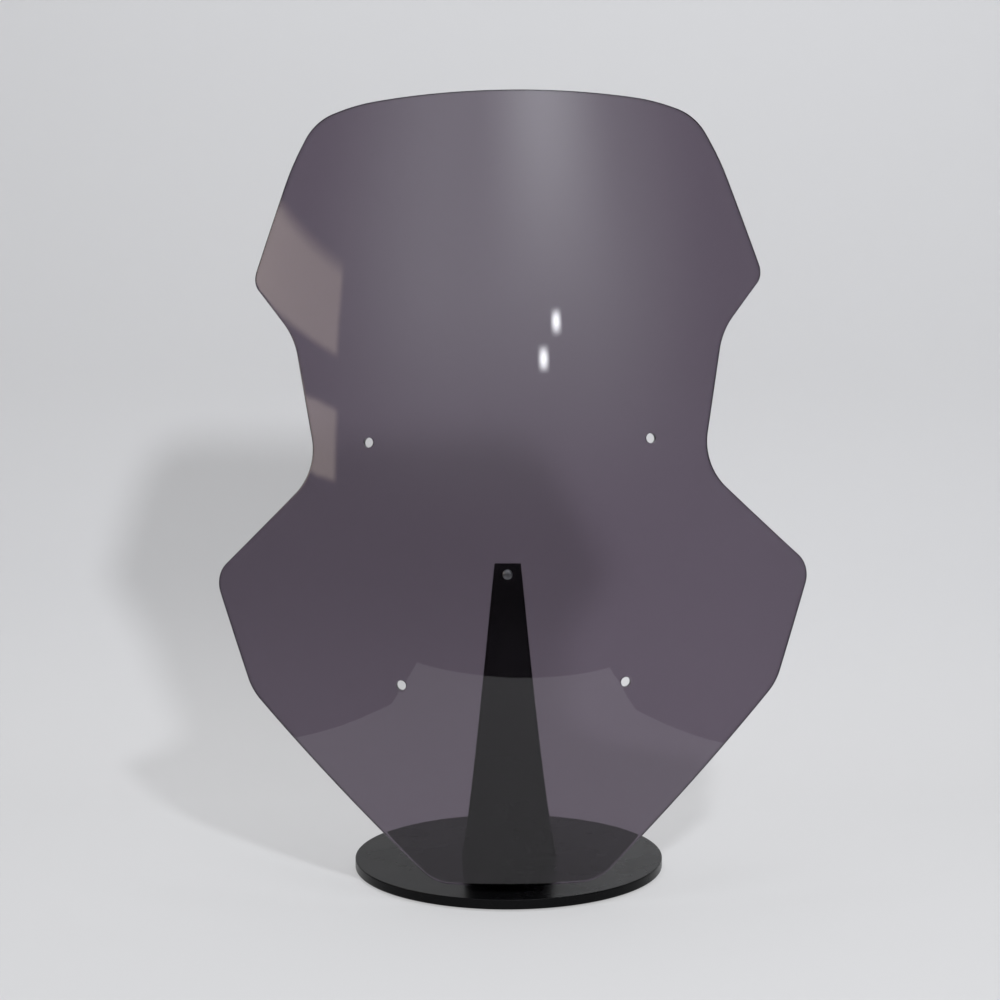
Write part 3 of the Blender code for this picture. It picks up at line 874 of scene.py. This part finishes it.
class WINDSCREEN_OT_pivot(bpy.types.Operator):
    """Make the screw the screen turns on, with its washers and nut"""

    bl_idname = "windscreen.pivot"
    bl_label = "Fit Pivot"

    def execute(self, context):
        settings = context.scene.windscreen_stand
        steel = finish(zinc_plated_steel, settings)
        rubber = finish(moulded_black_rubber, settings)
        sheet_half = context.scene.windscreen_screen.thickness / 2
        head = sheet_half + GAP
        top = head + PIVOT_HEAD_HEIGHT
        back = sheet_half + SOFT_WASHER + STRIP + 3 * GAP
        nut_high = -back - WASHER - GAP
        nut_low = nut_high - NUT_HEIGHT
        end = nut_low - PIVOT_BEYOND_NUT
        # The shank, then the head's side and its dome as shares of the head's radius and height.
        profile = rounded_profile((
            (PIVOT_SHANK * 0.5, end, 0),
            (PIVOT_SHANK, end, 0.3 * MM),
            (PIVOT_SHANK, head, 0.1 * MM),
            (PIVOT_HEAD, head, 0.15 * MM),
            (PIVOT_HEAD, head + PIVOT_HEAD_HEIGHT * 0.6, 0.05 * MM),
            (PIVOT_HEAD * 0.75, head + PIVOT_HEAD_HEIGHT * 0.93, 0.3 * MM),
            (PIVOT_HEAD * 0.2, top, 0),
        ))
        screw = lathed("stand_pivot_screw", profile, SMALL_SIDES, material=steel)
        arm = ((CROSS_SHORT, CROSS_SHORT), (CROSS_LONG, CROSS_SHORT), (CROSS_LONG, -CROSS_SHORT))
        points = [
            Matrix.Rotation(-math.pi / 2 * quarter, 3, "Z") @ Vector((x, y, height))
            for height in (top - CROSS_DEPTH, top + CROSS_DEPTH)
            for quarter in range(4)
            for x, y in arm
        ]
        cut_with(screw, mesh_object("cross_recess", points, ringed_faces(2, len(points) // 2)))
        soft = fine_washer("pivot_soft_washer", SOFT_WASHER_RADIUS, PIVOT_BORE, SOFT_WASHER, rubber)
        soft.data.transform(Matrix.Translation((0, 0, -sheet_half - GAP - SOFT_WASHER)))
        plain = fine_washer("pivot_plain_washer", PLAIN_WASHER_RADIUS, PIVOT_BORE, WASHER, steel)
        plain.data.transform(Matrix.Translation((0, 0, -back - WASHER)))
        nut_radius = NUT_ACROSS / math.sqrt(3)
        profile = (
            (nut_radius - NUT_INSET, nut_low),
            (nut_radius, nut_low + NUT_CHAMFER),
            (nut_radius, nut_high - NUT_CHAMFER),
            (nut_radius - NUT_INSET, nut_high),
        )
        nut = lathed("pivot_lock_nut", profile, 6, material=steel)
        through = ((PIVOT_BORE, nut_low - MM), (PIVOT_BORE, nut_high + MM))
        cut_with(nut, lathed("nut_bore", through, SMALL_SIDES))
        for piece, slot, node in (
            (screw, "bright_steel", "pivot_screw"),
            (soft, "soft_washer", "soft_washer"),
            (plain, "bright_steel", "plain_washer"),
            (nut, "bright_steel", "lock_nut"),
        ):
            piece.data.transform(AXIS_FRAME)
            take_place(piece, "stand", slot, node)
        return {"FINISHED"}


class WINDSCREEN_OT_foot_screws(bpy.types.Operator):
    """Set the screws and washers that hold the upright's tongue to the disc"""

    bl_idname = "windscreen.foot_screws"
    bl_label = "Set Foot Screws"

    def execute(self, context):
        settings = context.scene.windscreen_stand
        washer_low, washer_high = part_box("foot_washer_1")
        screw_low, screw_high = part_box("foot_screw_1")
        head_radius = (screw_high.x - screw_low.x) / 2
        seat = washer_high.z + GAP
        # The shank, then the head's side and its dome as shares of the head's radius.
        profile = rounded_profile((
            (FOOT_SHANK * 0.5, screw_low.z, 0),
            (FOOT_SHANK, screw_low.z, 0.3 * MM),
            (FOOT_SHANK, seat, 0.1 * MM),
            (head_radius, seat, 0.15 * MM),
            (head_radius, seat + FOOT_HEAD_SIDE, 0.1 * MM),
            (head_radius * 0.85, seat + FOOT_HEAD_SHOULDER, 0.5 * MM),
            (head_radius * 0.6, screw_high.z, 0),
        ))
        screw = lathed("foot_screw_pattern", profile, SMALL_SIDES)
        socket_radius = SOCKET_ACROSS / math.sqrt(3)
        socket = ((socket_radius, screw_high.z - SOCKET_DEPTH), (socket_radius, screw_high.z + MM))
        cut_with(screw, lathed("socket", socket, 6))
        height = washer_high.z - washer_low.z
        ring = fine_washer("foot_washer_pattern", FOOT_WASHER_RADIUS, FOOT_WASHER_BORE, height, None)
        ring.data.transform(Matrix.Translation((0, 0, washer_low.z)))
        tree = instancing_tree()
        values = {
            "Count": settings.screw_count,
            "Start": (-settings.foot_screw_across, settings.foot_screw_back, 0),
            "Spacing": (2 * settings.foot_screw_across, 0, 0),
            "Material": finish(zinc_plated_steel, settings),
        }
        for pattern, name in ((screw, "foot_screw"), (ring, "foot_washer")):
            piece = mesh_object(f"{name}s", [(0, 0, 0)], [])
            apply_tree(piece, tree, {**values, "Copied": pattern})
            bpy.data.objects.remove(pattern, do_unlink=True)
            take_place(piece, "stand", "bright_steel", f"{name}_1", f"{name}_2")
        return {"FINISHED"}


def background_ray(tree):
    """One where the background is seen straight, mirrored or through the sheet, else nought."""
    path = add_node(tree, "ShaderNodeLightPath").outputs
    seen = path["Is Camera Ray"]
    for name in ("Is Glossy Ray", "Is Transmission Ray"):
        both = {0: seen, 1: path[name]}
        seen = add_node(tree, "ShaderNodeMath", {"operation": "MAXIMUM"}, links=both).outputs[0]
    return seen


def studio_paper(settings):
    """Seamless paper: matt, pale, part of its level held, more so on the floor, and clear from behind."""
    made, tree, place = new_material("seamless_paper")
    height = add_node(tree, "ShaderNodeSeparateXYZ", links={0: place["Object"]}).outputs["Z"]
    rise = add_node(
        tree,
        "ShaderNodeMapRange",
        {"interpolation_type": "SMOOTHSTEP"},
        {"From Max": PAPER_BEND / 2},
        {"Value": height},
    ).outputs["Result"]
    tones = {MIX_FIRST: (*settings.floor, 1.0), MIX_SECOND: (*settings.wall, 1.0)}
    mix = add_node(tree, "ShaderNodeMix", {"data_type": "RGBA"}, tones, {MIX_SHARE: rise})
    tone = mix.outputs[MIX_RESULT]
    span = {"To Min": settings.floor_held, "To Max": settings.wall_held}
    held_share = add_node(tree, "ShaderNodeMapRange", values=span, links={"Value": rise})
    both = {0: held_share.outputs["Result"], 1: background_ray(tree)}
    share = add_node(tree, "ShaderNodeMath", {"operation": "MULTIPLY"}, links=both)
    matt = add_node(tree, "ShaderNodeBsdfPrincipled", values={"Roughness": 0.9}, links={"Base Color": tone})
    held = add_node(tree, "ShaderNodeEmission", links={"Color": tone})
    ends = {0: share.outputs[0], 1: matt.outputs["BSDF"], 2: held.outputs["Emission"]}
    mixed = add_node(tree, "ShaderNodeMixShader", links=ends)
    side = add_node(tree, "ShaderNodeNewGeometry")
    clear = add_node(tree, "ShaderNodeBsdfTransparent")
    ends = {0: side.outputs["Backfacing"], 1: mixed.outputs["Shader"], 2: clear.outputs["BSDF"]}
    faced = add_node(tree, "ShaderNodeMixShader", links=ends)
    add_node(tree, "ShaderNodeOutputMaterial", links={"Surface": faced.outputs["Shader"]})
    return made


def studio_world(settings):
    """The wall's own tone behind everything, and a dim room that fills the shade."""
    world = bpy.data.worlds.new("studio")
    world.use_nodes = True
    tree = world.node_tree
    tree.nodes.clear()
    room = add_node(tree, "ShaderNodeBackground", values={"Color": (*settings.room, 1.0)})
    pale = add_node(tree, "ShaderNodeBackground", values={"Color": (*settings.wall, 1.0)})
    ends = {0: background_ray(tree), 1: room.outputs["Background"], 2: pale.outputs["Background"]}
    mixed = add_node(tree, "ShaderNodeMixShader", links=ends)
    add_node(tree, "ShaderNodeOutputWorld", links={"Surface": mixed.outputs["Shader"]})
    return world


def glow(name, colour, strength, fade):
    """Plain light that turns clear at a patch's edges: the faded shares of its sides, foot and head."""
    made, tree, place = new_material(name)
    spot = add_node(tree, "ShaderNodeSeparateXYZ", links={0: place["UV"]}).outputs
    level = None
    for axis, edge, share in (("X", 0, fade[0]), ("X", 1, fade[0]), ("Y", 0, fade[1]), ("Y", 1, fade[2])):
        ramp = add_node(
            tree,
            "ShaderNodeMapRange",
            {"interpolation_type": "SMOOTHSTEP"},
            {"From Min": edge, "From Max": edge + share * (1 - 2 * edge)},
            {"Value": spot[axis]},
        ).outputs["Result"]
        if level:
            both = {0: level, 1: ramp}
            ramp = add_node(tree, "ShaderNodeMath", {"operation": "MULTIPLY"}, links=both).outputs[0]
        level = ramp
    clear = add_node(tree, "ShaderNodeBsdfTransparent")
    light = add_node(tree, "ShaderNodeEmission", values={"Color": (*colour, 1.0), "Strength": strength})
    ends = {0: level, 1: clear.outputs["BSDF"], 2: light.outputs["Emission"]}
    mixed = add_node(tree, "ShaderNodeMixShader", links=ends)
    add_node(tree, "ShaderNodeOutputMaterial", links={"Surface": mixed.outputs["Shader"]})
    return made


def mirrored_light(name, radius, around, heights, material):
    """A patch of a ball round the object that only mirrors see."""
    width = PATCH_COLUMNS + 1
    spots = [(i / PATCH_COLUMNS, j / PATCH_ROWS) for j in range(PATCH_ROWS + 1) for i in range(width)]
    points = []
    for u, v in spots:
        turn = math.radians(around[0] + (around[1] - around[0]) * u)
        rise = math.radians(heights[0] + (heights[1] - heights[0]) * v)
        out = Vector((math.sin(turn) * math.cos(rise), -math.cos(turn) * math.cos(rise), math.sin(rise)))
        points.append(MIDDLE + radius * out)
    faces = [
        (j * width + i, j * width + i + 1, (j + 1) * width + i + 1, (j + 1) * width + i)
        for j in range(PATCH_ROWS)
        for i in range(PATCH_COLUMNS)
    ]
    patch = mesh_object(name, points, faces, material, closed=False)
    uv = patch.data.uv_layers.new(name="patch")
    for loop in patch.data.loops:
        uv.data[loop.index].uv = spots[loop.vertex_index]
    for rays in ("camera", "diffuse", "transmission", "shadow"):
        setattr(patch, f"visible_{rays}", False)


class WINDSCREEN_OT_stage(bpy.types.Operator):
    """Lay the backdrop, hang the lights and place the camera"""

    bl_idname = "windscreen.stage"
    bl_label = "Set Stage"

    def execute(self, context):
        settings = context.scene.windscreen_stage
        scene = context.scene
        scene.view_settings.view_transform = "Standard"
        scene.world = studio_world(settings)
        paper = studio_paper(settings)
        rows = [(y, 0.0, half) for y, half in PAPER_FRONT]
        for step in range(BEND_STEPS + 1):
            turn = math.pi / 2 * step / BEND_STEPS
            ahead = PAPER_BACK - PAPER_BEND * (1 - math.sin(turn))
            rows.append((ahead, PAPER_BEND * (1 - math.cos(turn)), PAPER_HALF))
        rows.append((PAPER_BACK, PAPER_HEIGHT, PAPER_HALF))
        points = [(side * half, y, z) for y, z, half in rows for side in (-1, 1)]
        faces = [(2 * i, 2 * i + 1, 2 * i + 3, 2 * i + 2) for i in range(len(rows) - 1)]
        mesh_object("paper_sweep", points, faces, paper, closed=False)
        square = ((-1, -1), (1, -1), (1, 1), (-1, 1))
        corners = [(x * FLOOR_HALF, y * FLOOR_HALF, -FLOOR_DROP) for x, y in square]
        floor = mesh_object("wide_floor", corners, [(0, 1, 2, 3)], paper, closed=False)
        floor.visible_glossy = False
        for name, (radius, around, heights, strength, fade) in MIRRORED_LIGHTS.items():
            colour = settings.warm if name in WARM_LIGHTS else settings.daylight
            mirrored_light(name, radius, around, heights, glow(name, colour, strength, fade))
        for name, (spot, width, depth, power) in LAMPS.items():
            light = bpy.data.lights.new(name, "AREA")
            light.shape = "ELLIPSE"
            light.size = width
            light.size_y = depth
            light.energy = power
            light.color = settings.daylight
            lamp = bpy.data.objects.new(name, light)
            lamp.location = spot
            lamp.rotation_euler = (MIDDLE - lamp.location).to_track_quat("-Z", "Y").to_euler()
            for rays in ("camera", "glossy", "transmission"):
                setattr(lamp, f"visible_{rays}", False)
            scene.collection.objects.link(lamp)
        camera = bpy.data.cameras.new("camera")
        camera.lens = settings.lens
        camera.sensor_width = SENSOR_WIDTH
        camera.shift_x = settings.shift
        seat = bpy.data.objects.new("camera", camera)
        scene.collection.objects.link(seat)
        reach = settings.distance * math.cos(settings.elevation)
        rise = settings.distance * math.sin(settings.elevation)
        seat.location = (settings.aside, -reach, DISC_HIGH.z + rise)
        seat.rotation_euler = (math.pi / 2 - settings.pitch, 0, 0)
        scene.camera = seat
        return {"FINISHED"}


class WINDSCREEN_PT_panel(bpy.types.Panel):
    """Lists the sizes and the steps that build the windscreen"""

    bl_label = "Windscreen"
    bl_idname = "WINDSCREEN_PT_panel"
    bl_space_type = "VIEW_3D"
    bl_region_type = "UI"
    bl_category = "Windscreen"

    def draw(self, context):
        for group in GROUPS:
            box = self.layout.box()
            settings = getattr(context.scene, group)
            for name in settings.bl_rna.properties.keys():
                if name not in ("rna_type", "name"):
                    box.prop(settings, name)
        for step in STEPS:
            self.layout.operator(step.bl_idname)


GROUPS = {
    "windscreen_screen": ScreenSettings,
    "windscreen_stand": StandSettings,
    "windscreen_stage": StageSettings,
}
STEPS = (
    WINDSCREEN_OT_screen,
    WINDSCREEN_OT_upright,
    WINDSCREEN_OT_base,
    WINDSCREEN_OT_pivot,
    WINDSCREEN_OT_foot_screws,
    WINDSCREEN_OT_stage,
)


def register():
    """Adds the settings, the steps and the panel."""
    for group in (*GROUPS.values(), *STEPS, WINDSCREEN_PT_panel):
        bpy.utils.register_class(group)
    for name, group in GROUPS.items():
        setattr(bpy.types.Scene, name, PointerProperty(type=group))


def unregister():
    """Takes them away again."""
    for name in GROUPS:
        delattr(bpy.types.Scene, name)
    for group in reversed((*GROUPS.values(), *STEPS, WINDSCREEN_PT_panel)):
        bpy.utils.unregister_class(group)


def main():
    """Builds every piece and the stage."""
    register()
    for step in STEPS:
        family, name = step.bl_idname.split(".")
        getattr(getattr(bpy.ops, family), name)()


if __name__ == "__main__":
    main()
